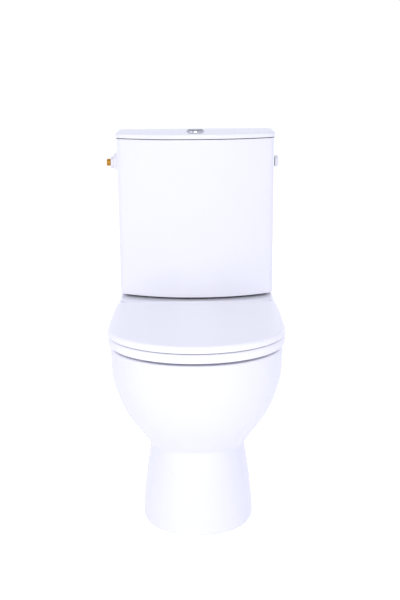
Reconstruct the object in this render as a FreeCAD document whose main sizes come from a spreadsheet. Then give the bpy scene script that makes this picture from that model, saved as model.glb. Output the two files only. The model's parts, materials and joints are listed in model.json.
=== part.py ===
import FreeCAD, Part
import math
import os
import Sketcher
from FreeCAD import Placement, Rotation, Vector

# Close-coupled toilet: a vitreous china pan with the cistern bolted on its rear deck, a duroplast seat
# and cover on two hinge posts, a dual flush button in the cistern lid, and the valves inside.
# Frame: X to the right, +Y towards the wall, Z up. The origin is on the floor, midway between the two
# floor-fixing holes. Depths are given as the distance from the wall plane, which lies at Y = wall_y.

os.makedirs("parts", exist_ok=True)
doc = FreeCAD.newDocument("toilet")
sheet = doc.addObject("Spreadsheet::Sheet", "Size")

SIZES = {
    # whole object
    "wall_y": 215, "deck_z": 428, "rim_z": 393, "skin": 11,
    # pan holes and waterways
    "floor_hole_x": 92, "floor_hole_r": 6.5, "flange_t": 16, "foot_recess_r": 25,
    "trap_r": 33, "trap_wall": 10, "bend_r": 47, "spigot_r": 51, "spigot_z": 180, "spigot_wall_d": 30,
    "spigot_shoulder_d": 76,
    "flush_d": 95, "inlet_r": 34, "inlet_seat_r": 52, "inlet_seat_z": 400,
    "deck_t": 14, "deck_front_d": 200, "deck_back_d": 16, "deck_half_w": 174,
    # cistern
    "tank_bottom_z": 433, "tank_top_z": 787, "tank_wall": 9, "tank_floor_t": 14,
    "tank_back_d": 12, "tank_low_half_w": 174, "tank_top_half_w": 178,
    "tank_low_front_d": 182, "tank_top_front_d": 178, "tank_bow_low": 52, "tank_bow_top": 49,
    "lid_low_z": 788.2, "lid_top_z": 799.4, "lid_over": 2, "lid_hole_r": 20,
    "side_hole_d": 72, "side_hole_z": 728.5, "side_hole_r": 9.2,
    "boss_x": 187, "plug_boss_x": 179.5, "plug_r": 8,
    # seat and cover
    "seat_back_d": 221, "seat_front_d": 644.5, "seat_back_half_w": 176.5, "seat_half_w": 181.5,
    "seat_centre_d": 460, "ring_low_z": 398.8, "ring_top_z": 418, "cover_low_z": 419.4,
    "cover_top_z": 433.4, "ring_back_d": 229, "cover_wall": 5, "cover_plate_t": 4,
    "seat_hole_half_w": 112, "seat_hole_front_d": 588, "seat_hole_back_d": 318,
    # hinge
    "hinge_x": 77.5, "hinge_d": 232, "hinge_z": 410.5, "pin_r": 3, "knuckle_r": 7, "post_half_w": 8,
    "knuckle_end": 18, "hinge_bolt_r": 4, "hinge_hole_r": 6, "under_rim_z": 340,
    # tank-to-pan coupling
    "bolt_x": 88, "bolt_r": 4, "bolt_hole_r": 5.5, "pad_inset": 14,
    # flush valve
    "tail_r": 28, "tail_bore_r": 22, "tail_low_z": 409, "base_low_z": 450, "base_top_z": 456,
    "tower_r": 33, "tower_top_z": 690, "head_top_z": 738, "tube_r": 12, "tube_top_z": 715,
    "seal_r": 26,
    # push buttons
    "button_r": 17.6, "bezel_r": 21, "well_r": 18, "button_low_z": 797, "button_top_z": 804,
    "button_split_x": 3, "rod_r": 3, "rod_low_z": 745.5,
    # fill valve
    "shank_r": 8.35, "shank_end_x": 203, "shank_free": 8.5, "shank_waist_r": 8,
    "valve_x": 105, "pivot_x": 138, "pivot_z": 752, "float_d": 98,
}
for row, (alias, number) in enumerate(SIZES.items(), start=1):
    sheet.set(f"A{row}", alias)
    sheet.set(f"B{row}", str(number))
    sheet.setAlias(f"B{row}", alias)
doc.recompute()


class Length:
    """A length that carries both its number and the sheet expression it comes from."""

    def __init__(self, number, text):
        self.number = float(number)
        self.text = text

    @staticmethod
    def of(thing):
        return thing if isinstance(thing, Length) else Length(thing, f"{thing}")

    def __add__(self, other):
        other = Length.of(other)
        return Length(self.number + other.number, f"({self.text} + {other.text})")

    def __sub__(self, other):
        other = Length.of(other)
        return Length(self.number - other.number, f"({self.text} - {other.text})")

    def __mul__(self, other):
        other = Length.of(other)
        return Length(self.number * other.number, f"({self.text} * {other.text})")

    def __rsub__(self, other):
        return Length.of(other) - self

    def __rmul__(self, other):
        return Length.of(other) * self

    def __neg__(self):
        return Length(-self.number, f"(0 - {self.text})")


class Sizes:
    """Reads the sheet: d.rim_z is the rim height."""

    def __getattr__(self, alias):
        return Length(getattr(sheet, alias), f"Size.{alias}")


d = Sizes()
WALL = float(sheet.wall_y)
SIDES = (-1, 1)
TURN = {"z": Rotation(), "x": Rotation(Vector(0, 1, 0), 90), "y": Rotation(Vector(1, 0, 0), -90)}


def from_wall(depth):
    """The Y of a depth measured out from the wall."""
    return d.wall_y - depth


# ---------------------------------------------------------------- small makers

def bind(obj, prop, length):
    obj.setExpression(prop, Length.of(length).text)


def put(obj, at, along="z"):
    obj.Placement = Placement(Vector(), TURN[along])
    for axis, length in zip("xyz", at):
        bind(obj, f"Placement.Base.{axis}", length)
    return obj


def cylinder(name, radius, length, at, along="z"):
    obj = doc.addObject("Part::Cylinder", name)
    bind(obj, "Radius", radius)
    bind(obj, "Height", length)
    return put(obj, at, along)


def cone(name, radius, end_radius, length, at, along="z"):
    obj = doc.addObject("Part::Cone", name)
    bind(obj, "Radius1", radius)
    bind(obj, "Radius2", end_radius)
    bind(obj, "Height", length)
    return put(obj, at, along)


def hexagon(name, corner_radius, length, at, along="z"):
    obj = doc.addObject("Part::Prism", name)
    obj.Polygon = 6
    bind(obj, "Circumradius", corner_radius)
    bind(obj, "Height", length)
    return put(obj, at, along)


def block(name, size, at):
    """A box from its low corner."""
    obj = doc.addObject("Part::Box", name)
    for prop, length in zip(("Length", "Width", "Height"), size):
        bind(obj, prop, length)
    return put(obj, at)


def fused(name, pieces):
    obj = doc.addObject("Part::MultiFuse", name)
    obj.Shapes = pieces
    return obj


def cut(name, base, tools):
    obj = doc.addObject("Part::Cut", name)
    obj.Base = base
    obj.Tool = tools[0] if len(tools) == 1 else fused(name + "_tools", tools)
    return obj


def group(name, pieces):
    """Separate solids that are one kind of part."""
    obj = doc.addObject("Part::Compound", name)
    obj.Links = pieces
    return obj


def solid(name, shape):
    obj = doc.addObject("Part::Feature", name)
    obj.Shape = shape
    return obj


def sketch_in(body, name, role):
    sketch = body.newObject("Sketcher::SketchObject", name)
    plane = [f for f in body.Origin.OriginFeatures if f.Role == role][0]
    sketch.AttachmentSupport = (plane, [""])
    sketch.MapMode = "FlatFace"
    return sketch


def washer(name, outer, inner, thick, at, along="z"):
    """A flat ring, padded from a sketch of two circles."""
    body = doc.addObject("PartDesign::Body", name)
    sketch = sketch_in(body, name + "_circles", "XY_Plane")
    for length in (outer, inner):
        length = Length.of(length)
        circle = Part.Circle(Vector(), Vector(0, 0, 1), length.number)
        edge = sketch.addGeometry(circle, False)
        sketch.addConstraint(Sketcher.Constraint("Coincident", edge, 3, -1, 1))
        rule = sketch.addConstraint(Sketcher.Constraint("Radius", edge, length.number))
        bind(sketch, f"Constraints[{rule}]", length)
    pad = body.newObject("PartDesign::Pad", name + "_pad")
    pad.Profile = sketch
    bind(pad, "Length", thick)
    return put(body, at, along)


def turned(name, profile, at, along="z"):
    """A lathe-turned part: (radius, height) corners spun about the local Z axis."""
    body = doc.addObject("PartDesign::Body", name)
    sketch = sketch_in(body, name + "_profile", "XZ_Plane")
    corners = [(Length.of(r), Length.of(h)) for r, h in profile]
    count = len(corners)
    for k in range(count):
        (r0, h0), (r1, h1) = corners[k], corners[(k + 1) % count]
        start = Vector(r0.number, h0.number, 0)
        sketch.addGeometry(Part.LineSegment(start, Vector(r1.number, h1.number, 0)), False)
    for k in range(count):
        sketch.addConstraint(Sketcher.Constraint("Coincident", k, 2, (k + 1) % count, 1))
    for k, corner in enumerate(corners):
        for kind, axis, length in zip(("DistanceX", "DistanceY"), (-2, -1), corner):
            if length.number == 0:
                sketch.addConstraint(Sketcher.Constraint("PointOnObject", k, 1, axis))
            else:
                rule = sketch.addConstraint(Sketcher.Constraint(kind, -1, 1, k, 1, length.number))
                bind(sketch, f"Constraints[{rule}]", length)
    spin = body.newObject("PartDesign::Revolution", name + "_spin")
    spin.Profile = sketch
    spin.ReferenceAxis = (sketch, ["V_Axis"])
    spin.Angle = 360
    return put(body, at, along)


def both_sides(name, make):
    """The same part at the left and at the right: make(side, name) builds one."""
    return group(name, [make(side, f"{name}_{'left' if side < 0 else 'right'}") for side in SIDES])


# ---------------------------------------------------------------- outlines

def egg_wire(z, half_w, front, back, centre, front_power=2.1, back_power=2.1, count=40):
    """A closed outline at height z. Its front and back halves can be rounder or squarer."""
    points = []
    for k in range(count):
        angle = 2 * math.pi * k / count
        c = math.cos(angle)
        s = math.sin(angle)
        reach, power = (front - centre, front_power) if s < 0 else (centre - back, back_power)
        x = half_w * math.copysign(abs(c) ** (2 / power), c)
        out = reach * math.copysign(abs(s) ** (2 / power), s)
        points.append(Vector(x, WALL - centre + out, z))
    curve = Part.BSplineCurve()
    curve.interpolate(points, PeriodicFlag=True)
    return Part.Wire([curve.toShape()])


def loft(wires, ruled=False):
    return Part.makeLoft(wires, True, ruled)


def prism(wire, height):
    return Part.Face(wire).extrude(Vector(0, 0, height))


def tank_wire(z, half_w, front, bow, inset=0.0):
    """The cistern's outline: straight back and sides and a bowed front."""
    half_w = half_w - inset
    back = WALL - (sheet.tank_back_d + inset)
    steps = 24
    front_points = []
    for k in range(steps + 1):
        u = 2 * k / steps - 1
        depth = front - inset - bow * abs(u) ** 2.2
        front_points.append(Vector(u * half_w, WALL - depth, z))
    curve = Part.BSplineCurve()
    curve.interpolate(front_points)
    left = Vector(-half_w, back, z)
    right = Vector(half_w, back, z)
    edges = [curve.toShape(), Part.makeLine(front_points[-1], right), Part.makeLine(right, left),
             Part.makeLine(left, front_points[0])]
    return Part.Wire(edges)


def seat_wire(z, inset=0.0, back_depth=None):
    """The seat's D shape: a straight back edge and an oval front."""
    back = (sheet.seat_back_d if back_depth is None else back_depth) + (inset if back_depth is None else 0)
    centre = sheet.seat_centre_d
    half_w = sheet.seat_half_w - inset
    back_half_w = sheet.seat_back_half_w - inset
    reach = sheet.seat_front_d - inset - centre
    side = [(0.0, 0.0), (0.3, 0.52), (0.6, 0.84), (0.85, 0.98)]
    right = []
    for along, grow in side:
        x = back_half_w + (half_w - back_half_w) * grow
        right.append((x, back + (centre - back) * along))
    for k in range(11):
        angle = math.pi / 2 * k / 10
        right.append((half_w * math.cos(angle), centre + reach * math.sin(angle)))
    right[-1] = (0.0, centre + reach)
    path = right + [(-x, depth) for x, depth in reversed(right[:-1])]
    curve = Part.BSplineCurve()
    curve.interpolate([Vector(x, WALL - depth, z) for x, depth in path])
    return Part.Wire([curve.toShape(), Part.makeLine(curve.EndPoint, curve.StartPoint)])


def edges_where(shape, test):
    return [edge for edge in shape.Edges if test(edge.BoundBox)]


def upright_edges(shape, near_back):
    """The long standing edges, at the back or at the front."""
    box = shape.BoundBox
    middle = (box.YMin + box.YMax) / 2
    tall = edges_where(shape, lambda b: b.ZLength > 0.8 * box.ZLength and b.XLength < 30)
    return [e for e in tall if (e.BoundBox.YMin > middle) == near_back]


def level_edges(shape, z):
    return edges_where(shape, lambda b: abs(b.ZMin - z) < 0.01 and abs(b.ZMax - z) < 0.01)


# ---------------------------------------------------------------- pan

# height, half width, front depth, back depth of the bowl's outside
BOWL = [(393, 176, 638, 190), (366, 176, 638, 190), (340, 175.4, 635, 192), (315, 171.5, 627.5, 198),
        (290, 164, 615, 206), (263, 154, 597, 218), (236, 140.5, 573.5, 232), (208, 121.5, 544, 250),
        (180, 103.5, 512, 268), (155, 84, 476, 300), (135, 62, 440, 330)]
# the same for the pedestal and for the body under the rear deck
FOOT = [(0, 117.5, 519, 72), (25, 116.5, 518.5, 73), (60, 113.5, 516.5, 75), (100, 108.5, 513.5, 78),
        (135, 103, 510.5, 82), (165, 99.5, 508, 85), (210, 97, 504, 89), (280, 95, 499, 95),
        (345, 94, 492, 100)]
SHELF = [(393, 173, 230, 18), (370, 171, 240, 20), (335, 158, 250, 32), (300, 134, 256, 52),
         (265, 108, 262, 74), (240, 92, 268, 92)]
# the inside of the bowl, down to the mouth of the trap
BASIN = [(365, 146, 608, 272), (335, 141, 601, 286), (300, 127, 580, 312), (265, 105, 549, 338),
         (235, 80, 512, 350), (205, 52, 464, 356), (180, 34, 424, 356)]


def bowl_loft(inset, low, high):
    wires = []
    for z, half_w, front, back in BOWL:
        if low <= z <= high:
            centre = 370 + 85 * z / 395
            squareness = 2.6 + 3.4 * max(0.0, (z - 200) / 193)
            wires.append(egg_wire(z, half_w - inset, front - inset, back + inset, centre, 2.06, squareness))
    return loft(wires)


def foot_loft(inset, lowest):
    wires = []
    for z, half_w, front, back in FOOT:
        z = lowest if z == 0 else z
        wires.append(egg_wire(z, half_w - inset, front - inset, back + inset, 358, 2.2, 3.4))
    return loft(wires)


def shelf_loft(inset):
    wires = []
    for z, half_w, front, back in SHELF:
        z = z - (inset if z == sheet.rim_z else 0)
        centre = (front + back) / 2
        wires.append(egg_wire(z, half_w - inset, front - inset, back + inset, centre, 5.0, 5.0))
    return loft(wires)


def basin_loft(grow):
    wires = []
    for z, half_w, front, back in BASIN:
        centre = back + min(half_w, (front - back) / 2)
        wires.append(egg_wire(z, half_w + grow, front + grow, back - grow, centre, 2.1, 2.1))
    return loft(wires)


def trap_path():
    """Down into the seal, up over the weir, down again and out to the wall."""
    r = sheet.bend_r
    z_out = sheet.spigot_z

    def at(depth, z):
        return Vector(0, WALL - depth, z)

    def bend(centre, start, end):
        points = []
        for angle in (start, (start + end) / 2, end):
            a = math.radians(angle)
            points.append(at(centre[0] + r * math.cos(a), centre[1] + r * math.sin(a)))
        return Part.Arc(*points).toShape()

    dip = (390 - r, 178)
    weir = (dip[0] - 2 * r, z_out + r)
    fall = (weir[0] - 2 * r, z_out + r)
    return Part.Wire([
        Part.makeLine(at(390, 222), at(390, 178)),
        bend(dip, 0, -180),
        Part.makeLine(at(dip[0] - r, dip[1]), at(dip[0] - r, weir[1])),
        bend(weir, 0, 180),
        bend(fall, 0, -90),
        Part.makeLine(at(fall[0], z_out), at(sheet.spigot_wall_d - 5, z_out)),
    ])


def trap_pipe(radius):
    path = trap_path()
    start = path.Vertexes[0].Point
    ring = Part.Wire([Part.makeCircle(radius, start, Vector(0, 0, -1))])
    return path.makePipeShell([ring], True, False)


def box_between(x0, x1, depth0, depth1, z0, z1):
    return Part.makeBox(x1 - x0, depth1 - depth0, z1 - z0, Vector(x0, WALL - depth1, z0))


def rod_up(radius, x, depth, z0, z1):
    return Part.makeCylinder(radius, z1 - z0, Vector(x, WALL - depth, z0))


def rod_back(radius, depth0, depth1):
    """A level cylinder on the outlet's axis, running back towards the wall."""
    start = Vector(0, WALL - depth0, sheet.spigot_z)
    return Part.makeCylinder(radius, depth0 - depth1, start, Vector(0, 1, 0))


def pan_shape():
    skin = sheet.skin
    rim = sheet.rim_z
    deck = sheet.deck_z
    half = sheet.deck_half_w
    back = sheet.deck_back_d
    front = sheet.deck_front_d
    plate = sheet.deck_t
    flush = sheet.flush_d

    raised = box_between(-half, half, back, front, rim - 5, deck)
    raised = raised.makeFillet(22, edges_where(raised, lambda b: b.ZLength > 20))
    raised = raised.makeFillet(5, level_edges(raised, deck))
    spigot = rod_back(sheet.spigot_r, 92, sheet.spigot_wall_d)
    shoulder = rod_back(sheet.spigot_r + 6, 92, sheet.spigot_shoulder_d)
    outside = bowl_loft(0, 0, 400).fuse([foot_loft(0, 0), shelf_loft(0), raised, spigot, shoulder])

    # hollow casting, open below and at the back of the deck
    hollow = bowl_loft(skin, 150, 345).fuse([
        foot_loft(skin, -5), shelf_loft(skin),
        box_between(-half + skin, half - skin, back + skin, front - skin, rim - 4, deck - plate),
        box_between(-150, 150, 45, 185, 370, 400),
        box_between(-half + 32, half - 32, -5, 60, rim - 45, deck - plate),
    ])
    keep = basin_loft(10).fuse([
        trap_pipe(sheet.trap_r + sheet.trap_wall),
        box_between(-40, 40, flush, 290, 325, 372),
        rod_up(44, 0, flush, 325, 390),
        rod_up(62, 0, flush, 386, deck),
        rod_back(sheet.spigot_r - 4, 160, sheet.spigot_wall_d),
    ])
    lugs = [box_between(side * 84 - 36, side * 84 + 36, 175, 255, -5, 92) for side in SIDES]
    lugs += [rod_up(19, side * sheet.hinge_x, sheet.hinge_d, sheet.under_rim_z, rim) for side in SIDES]
    hollow = hollow.cut(keep.fuse(lugs))
    body = outside.cut(hollow)

    rim_hole = prism(egg_wire(355, 131, 594, 290, 421, 2.1, 2.1), rim - 355 + 5)
    water = basin_loft(0).fuse([
        rim_hole,
        trap_pipe(sheet.trap_r),
        box_between(-30, 30, flush, 300, 335, 361),
        rod_up(sheet.inlet_r, 0, flush, 335, deck + 5),
        rod_up(sheet.inlet_seat_r, 0, flush, sheet.inlet_seat_z, deck + 5),
    ])
    drills = []
    for side in SIDES:
        x = side * sheet.floor_hole_x
        drills.append(rod_up(sheet.floor_hole_r, x, WALL, -5, sheet.flange_t + 5))
        recess = rod_up(sheet.foot_recess_r, side * 97, WALL, sheet.flange_t, 62)
        drills.append(recess)
        drills.append(Part.makeCone(sheet.foot_recess_r, 8, 16, Vector(side * 97, 0, 62)))
        drills.append(rod_up(sheet.bolt_hole_r, side * sheet.bolt_x, flush, 395, deck + 5))
        drills.append(rod_up(sheet.hinge_hole_r, side * sheet.hinge_x, sheet.hinge_d, 335, rim + 5))
    tool = water.fuse(drills)
    return body.cut(tool)


pan = solid("pan", pan_shape())


# ---------------------------------------------------------------- cistern

def tank_half_w(z):
    """The half width at a height, which grows a little towards the top."""
    share = (z - sheet.tank_bottom_z) / (sheet.tank_top_z - sheet.tank_bottom_z)
    return sheet.tank_low_half_w + share * (sheet.tank_top_half_w - sheet.tank_low_half_w)


def tank_loft(inset, low, high):
    wires = []
    for z in (low, high):
        share = (z - sheet.tank_bottom_z) / (sheet.tank_top_z - sheet.tank_bottom_z)
        front = sheet.tank_low_front_d + share * (sheet.tank_top_front_d - sheet.tank_low_front_d)
        bow = sheet.tank_bow_low + share * (sheet.tank_bow_top - sheet.tank_bow_low)
        wires.append(tank_wire(z, tank_half_w(z), front, bow, inset))
    shape = loft(wires, True)
    shape = shape.makeFillet(max(18 - inset, 8), upright_edges(shape, True))
    return shape.makeFillet(max(26 - inset, 8), upright_edges(shape, False))


def tank_shape():
    low = sheet.tank_bottom_z
    high = sheet.tank_top_z
    outer = tank_loft(0, low, high)
    outer = outer.makeFillet(6, level_edges(outer, low))
    z = sheet.side_hole_z
    depth = sheet.side_hole_d
    bosses = []
    for side, reach in ((-1, sheet.boss_x), (1, sheet.plug_boss_x)):
        start = Vector(side * 168, WALL - depth, z + 2.5)
        bosses.append(Part.makeCone(25, 17, reach - 168, start, Vector(side, 0, 0)))
    inner = tank_loft(sheet.tank_wall, low + sheet.tank_floor_t, high + 5)
    drills = [rod_up(sheet.tail_r + 2, 0, sheet.flush_d, low - 5, low + 30)]
    for side in SIDES:
        drills.append(rod_up(sheet.bolt_hole_r, side * sheet.bolt_x, sheet.flush_d, low - 5, low + 30))
        start = Vector(side * 150, WALL - depth, z)
        drills.append(Part.makeCylinder(sheet.side_hole_r, 50, start, Vector(side, 0, 0)))
    return outer.fuse(bosses).cut(inner.fuse(drills))


tank = solid("cistern_tank", tank_shape())


def lid_shape():
    low = sheet.lid_low_z
    seat = sheet.tank_top_z
    thick = sheet.lid_top_z - low
    over = sheet.lid_over
    outline = tank_wire(low, sheet.tank_top_half_w, sheet.tank_top_front_d, sheet.tank_bow_top, -over)
    slab = prism(outline, thick)
    slab = slab.makeFillet(20, upright_edges(slab, True))
    slab = slab.makeFillet(28, upright_edges(slab, False))
    slab = slab.makeFillet(5, level_edges(slab, sheet.lid_top_z))
    # the lid rests on a pad set in from its edge, and a lip below it keeps it in place
    lip_in = sheet.tank_wall + 2.5
    rings = []
    for inset, z0 in ((5, seat), (lip_in, seat - 11), (lip_in + 8, seat - 12)):
        wire = tank_wire(z0, sheet.tank_top_half_w, sheet.tank_top_front_d, sheet.tank_bow_top, inset)
        ring_block = prism(wire, low - z0)
        ring_block = ring_block.makeFillet(10, upright_edges(ring_block, True))
        rings.append(ring_block.makeFillet(14, upright_edges(ring_block, False)))
    slab = slab.fuse(rings[0].fuse(rings[1]).cut(rings[2]))
    return slab.cut(rod_up(sheet.lid_hole_r, 0, sheet.flush_d, low - 5, sheet.lid_top_z + 5))


lid = solid("cistern_lid", lid_shape())


# ---------------------------------------------------------------- tank-to-pan coupling

flush_y = from_wall(d.flush_d)

coupling_washer = turned("coupling_washer", [
    (d.tail_r + 1, 0), (d.inlet_seat_r - 6, 0), (d.inlet_seat_r - 1.5, 9), (d.inlet_seat_r - 1.5, 18),
    (d.tail_r + 1, 18)], (0, flush_y, d.inlet_seat_z))

backnut_hex = hexagon("backnut_hex", 47, 15, (0, flush_y, d.tank_bottom_z - 15))
backnut_bore = cylinder("backnut_bore", d.tail_r + 0.2, 25, (0, flush_y, d.tank_bottom_z - 20))
flush_backnut = cut("flush_valve_backnut", backnut_hex, [backnut_bore])


def seating_pad_shape():
    """The foam rubber sheet between cistern and deck, set in from the cistern's edge."""
    low = sheet.deck_z
    edge = tank_wire(low, sheet.tank_low_half_w, sheet.tank_low_front_d, sheet.tank_bow_low, sheet.pad_inset)
    holes = [rod_up(60, 0, sheet.flush_d, low - 5, low + 10)]
    holes += [rod_up(sheet.bolt_hole_r, side * sheet.bolt_x, sheet.flush_d, low - 5, low + 10)
              for side in SIDES]
    return prism(edge, sheet.tank_bottom_z - low).cut(holes[0].fuse(holes[1:]))


pads = solid("cistern_seating_pad", seating_pad_shape())


def coupling_bolt(side, name):
    head_z = d.tank_bottom_z + d.tank_floor_t + 3
    return turned(name, [
        (0, 0), (d.bolt_r, 0), (d.bolt_r, head_z - 380), (11, head_z - 380), (11, head_z - 378),
        (8, head_z - 374), (0, head_z - 373)], (side * d.bolt_x, flush_y, 380))


coupling_bolts = both_sides("coupling_bolts", coupling_bolt)
coupling_seals = both_sides("coupling_bolt_seals", lambda side, name: washer(
    name, 12, d.bolt_r + 0.2, 3, (side * d.bolt_x, flush_y, d.tank_bottom_z + d.tank_floor_t)))
under_deck = d.deck_z - d.deck_t
coupling_washers = both_sides("coupling_steel_washers", lambda side, name: washer(
    name, 12, d.bolt_r + 0.2, 2, (side * d.bolt_x, flush_y, under_deck - 2)))


def wing_nut(name, x, y, top_z, screw_r):
    """A hub with two thumb wings, threaded on from below."""
    hub = cylinder(name + "_hub", 10, 12, (x, y, top_z - 12))
    wings = block(name + "_wings", (36, 4, 10), (x - 18, y - 2, top_z - 16))
    bore = cylinder(name + "_bore", Length.of(screw_r) + 0.2, 30, (x, y, top_z - 25))
    return cut(name, fused(name + "_body", [hub, wings]), [bore])


coupling_nuts = both_sides("coupling_wing_nuts", lambda side, name: wing_nut(
    name, side * d.bolt_x, flush_y, under_deck - 2, d.bolt_r))


# ---------------------------------------------------------------- flush valve

valve_base = turned("flush_valve_base", [
    (d.tail_bore_r, 0), (d.tail_r, 0), (d.tail_r, d.base_low_z - d.tail_low_z),
    (42, d.base_low_z - d.tail_low_z), (42, d.base_top_z - d.tail_low_z),
    (d.tail_bore_r, d.base_top_z - d.tail_low_z)], (0, flush_y, d.tail_low_z))
tank_floor = d.tank_bottom_z + d.tank_floor_t
valve_gasket = washer("flush_valve_gasket", 41, d.tail_r + 0.3, 3, (0, flush_y, tank_floor))


def windows(name, width, z, height, reach=40):
    """Two crossing bars that cut four windows through a tube."""
    across = block(name + "_across", (2 * reach, width, height), (-reach, flush_y - width / 2, z))
    along = block(name + "_along", (width, 2 * reach, height), (-width / 2, flush_y - reach, z))
    return [across, along]


tower_tube = washer("tower_tube", d.tower_r, d.tower_r - 3, d.tower_top_z - d.base_top_z,
                    (0, flush_y, d.base_top_z))
tower_guide = washer("tower_guide", d.tower_r - 1, d.tube_r + 0.6, 4, (0, flush_y, 560))
tower = cut("flush_valve_tower", fused("tower_solid", [tower_tube, tower_guide]),
            windows("tower_ports", 30, d.base_top_z + 5, 42))

head_shell = turned("head_shell", [
    (d.tower_r - 3, 0), (d.tower_r, 0), (d.tower_r, d.head_top_z - d.tower_top_z),
    (4, d.head_top_z - d.tower_top_z), (4, d.head_top_z - d.tower_top_z - 4),
    (d.tower_r - 3, d.head_top_z - d.tower_top_z - 4)], (0, flush_y, d.tower_top_z))
head = cut("flush_valve_head", head_shell, windows("head_ports", 24, d.tower_top_z + 8, 26))

overflow_tube = washer("overflow_tube", d.tube_r, d.tube_r - 2, d.tube_top_z - d.base_top_z - 5,
                       (0, flush_y, d.base_top_z + 5))
seal_height = 4.6
flush_seal = turned("flush_seal", [
    (d.tube_r - 2, 0), (d.seal_r - 2, 0), (d.seal_r, 1.5), (d.seal_r, 3), (d.seal_r - 6, seal_height),
    (d.tube_r - 2, seal_height)], (0, flush_y, d.base_top_z + 0.3))


# ---------------------------------------------------------------- push buttons in the lid

bezel = turned("button_bezel", [
    (d.well_r, 0), (d.bezel_r, 0), (d.bezel_r, 1.2), (d.bezel_r - 1.2, 3), (d.well_r, 3)],
    (0, flush_y, d.lid_top_z))
well_low = d.lid_low_z - 17
housing = turned("button_housing", [
    (d.lid_hole_r - 0.4, 0), (d.lid_hole_r - 0.4, d.lid_top_z - well_low),
    (d.well_r + 0.2, d.lid_top_z - well_low), (d.well_r + 0.2, 3), (0, 3), (0, 0)],
    (0, flush_y, well_low))
lock_hex = hexagon("lock_hex", 28, 8, (0, flush_y, d.lid_low_z - 8))
lock_bore = cylinder("lock_bore", d.lid_hole_r - 0.2, 20, (0, flush_y, d.lid_low_z - 14))
lock_nut = cut("button_lock_nut", lock_hex, [lock_bore])

ROD_X = {"full_flush": -7, "half_flush": 10.5}
rod_holes = [cylinder(f"{key}_rod_hole", d.rod_r + 0.8, 10, (x, flush_y, well_low - 3))
             for key, x in ROD_X.items()]
housing_drilled = cut("button_housing_drilled", housing, rod_holes)


def half_button(key, side):
    """One side of the split round button, with a 0.3 mm gap to the split line."""
    disc = turned(key + "_disc", [
        (0, 0), (d.button_r, 0), (d.button_r, 5.6), (d.button_r - 0.5, 6.6), (d.button_r - 1.6, 7),
        (0, 7)], (0, flush_y, d.button_low_z))
    edge = d.button_split_x + side * 0.3
    low_x = edge if side < 0 else edge - 60
    waste = block(key + "_waste", (60, 60, 20), (low_x, flush_y - 30, d.button_low_z - 5))
    return cut(key + "_button", disc, [waste])


full_button = half_button("full_flush", -1)
half_button_part = half_button("half_flush", 1)


def push_rod(key):
    long = d.button_low_z - d.rod_low_z
    return turned(key + "_rod", [
        (0, 0), (4.5, 0), (4.5, 2.5), (d.rod_r, 4), (d.rod_r, long), (0, long)],
        (ROD_X[key], flush_y, d.rod_low_z))


full_rod = push_rod("full_flush")
half_rod = push_rod("half_flush")


# ---------------------------------------------------------------- fill valve

side_y = from_wall(d.side_hole_d)
inner_x = 167.6

shank = turned("inlet_shank", [
    (5, 0), (d.shank_r, 0), (d.shank_r, d.shank_free), (d.shank_waist_r, d.shank_free),
    (d.shank_waist_r, d.shank_end_x - 164.6), (13, d.shank_end_x - 164.6),
    (13, d.shank_end_x - 161), (5, d.shank_end_x - 161)], (-d.shank_end_x, side_y, d.side_hole_z), "x")
inlet_washer = washer("inlet_washer", 14, d.shank_r + 0.2, 3, (-inner_x, side_y, d.side_hole_z), "x")
nut_hex = hexagon("inlet_nut_hex", 13.5, 6.5, (-(d.boss_x + 6.5), side_y, d.side_hole_z), "x")
nut_bore = cylinder("inlet_nut_bore", d.shank_r + 0.2, 20, (-(d.boss_x + 14), side_y, d.side_hole_z), "x")
inlet_nut = cut("inlet_backnut", nut_hex, [nut_bore])

valve_arm = cylinder("valve_arm", 9, 50, (-161, side_y, d.side_hole_z), "x")
valve_barrel = cylinder("valve_barrel", 15, 62, (-d.valve_x, side_y, 690))
valve_cap = cylinder("valve_cap", 17, 12, (-d.valve_x, side_y, 752))
pivot_plate = block("pivot_plate", (40, 5, 16),
                    (-(d.pivot_x + 6), from_wall(d.float_d - 9), d.pivot_z - 8))
pivot_pin = cylinder("pivot_pin", 2.5, 12, (-d.pivot_x, from_wall(d.float_d - 1), d.pivot_z), "y")
fill_bore = cylinder("fill_bore", 7, 30, (-d.valve_x, side_y, 685))
fill_valve = cut("fill_valve_body", fused("fill_valve_solid", [
    valve_arm, valve_barrel, valve_cap, pivot_plate, pivot_pin]), [fill_bore])
fill_tube = washer("fill_tube", 9, 7, 220, (-d.valve_x, side_y, 470))

arm_y = from_wall(d.float_d - 3)
arm_knuckle = cylinder("arm_knuckle", 6, 5, (-d.pivot_x, arm_y, d.pivot_z), "y")
arm_bar = block("arm_bar", (62, 5, 8), (-d.pivot_x, arm_y, d.pivot_z - 4))
arm_stem = block("arm_stem", (14, 25, 6), (-(d.pivot_x - 38), arm_y - 25, d.pivot_z - 4))
arm_drop = block("arm_drop", (14, 8, 22), (-(d.pivot_x - 38), arm_y - 25, d.pivot_z - 20))
arm_bore = cylinder("arm_bore", 2.9, 20, (-d.pivot_x, arm_y - 8, d.pivot_z), "y")
float_arm = cut("float_arm", fused("float_arm_solid", [arm_knuckle, arm_bar, arm_stem, arm_drop]),
                [arm_bore])
cup_y = from_wall(d.float_d + 44)
cup_outer = block("cup_outer", (42, 42, 58), (-(d.pivot_x - 20), cup_y, d.pivot_z - 78))
cup_inner = block("cup_inner", (37, 37, 60), (-(d.pivot_x - 22.5), cup_y + 2.5, d.pivot_z - 83))
float_cup = cut("float_cup", cup_outer, [cup_inner])

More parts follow.
